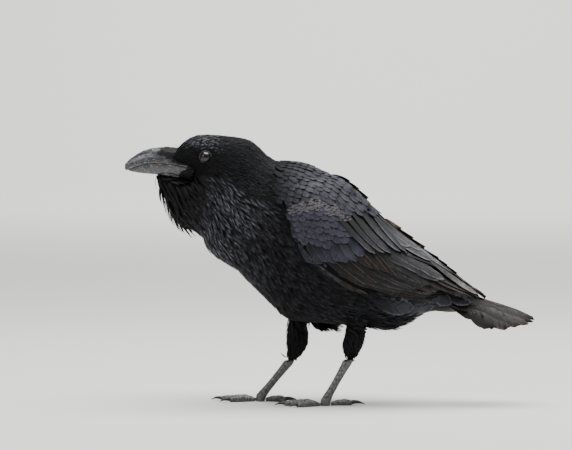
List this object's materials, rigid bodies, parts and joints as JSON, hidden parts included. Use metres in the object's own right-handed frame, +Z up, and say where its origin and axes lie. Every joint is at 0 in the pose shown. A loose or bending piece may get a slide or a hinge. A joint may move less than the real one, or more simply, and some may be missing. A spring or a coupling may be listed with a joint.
{
  "type": "raven",
  "caption": "Life-size still model of a common raven standing on its own feet, neck stretched forward, bill closed, wings and tail folded.",
  "frame": {"origin": "middle of the underside of the box round the whole bird, on the floor", "axes": "+Z up; the bird faces -X, its tail is towards +X and its left side towards -Y"},
  "size_m": [0.5344, 0.1336, 0.3512],
  "materials": {
    "plumage": "black contour feathers, matt with a faint blue-grey sheen",
    "flight_plumage": "black flight feathers and coverts, silky with a violet-blue gloss, worn brown at their tips",
    "bill_horn": "dark grey horn, half gloss, paler and worn along the culmen",
    "leg_scales": "grey-black scutes with pale worn rims",
    "claw_horn": "black horn, half gloss",
    "eye": "dark brown wet eye"
  },
  "bodies": {
    "root": {"bill_lower": "bill_horn", "bill_upper": "bill_horn", "claw_left_back": "claw_horn", "claw_left_inner": "claw_horn", "claw_left_middle": "claw_horn", "claw_left_outer": "claw_horn", "claw_right_back": "claw_horn", "claw_right_inner": "claw_horn", "claw_right_middle": "claw_horn", "claw_right_outer": "claw_horn", "eye_left": "eye", "eye_right": "eye", "head": "plumage", "neck": "plumage", "tail": "flight_plumage", "tarsus_left": "leg_scales", "tarsus_right": "leg_scales", "thigh_left": "plumage", "thigh_right": "plumage", "toe_left_back": "leg_scales", "toe_left_inner": "leg_scales", "toe_left_middle": "leg_scales", "toe_left_outer": "leg_scales", "toe_right_back": "leg_scales", "toe_right_inner": "leg_scales", "toe_right_middle": "leg_scales", "toe_right_outer": "leg_scales", "trunk": "plumage", "wing_left": "flight_plumage", "wing_right": "flight_plumage"}
  },
  "joints": []
}
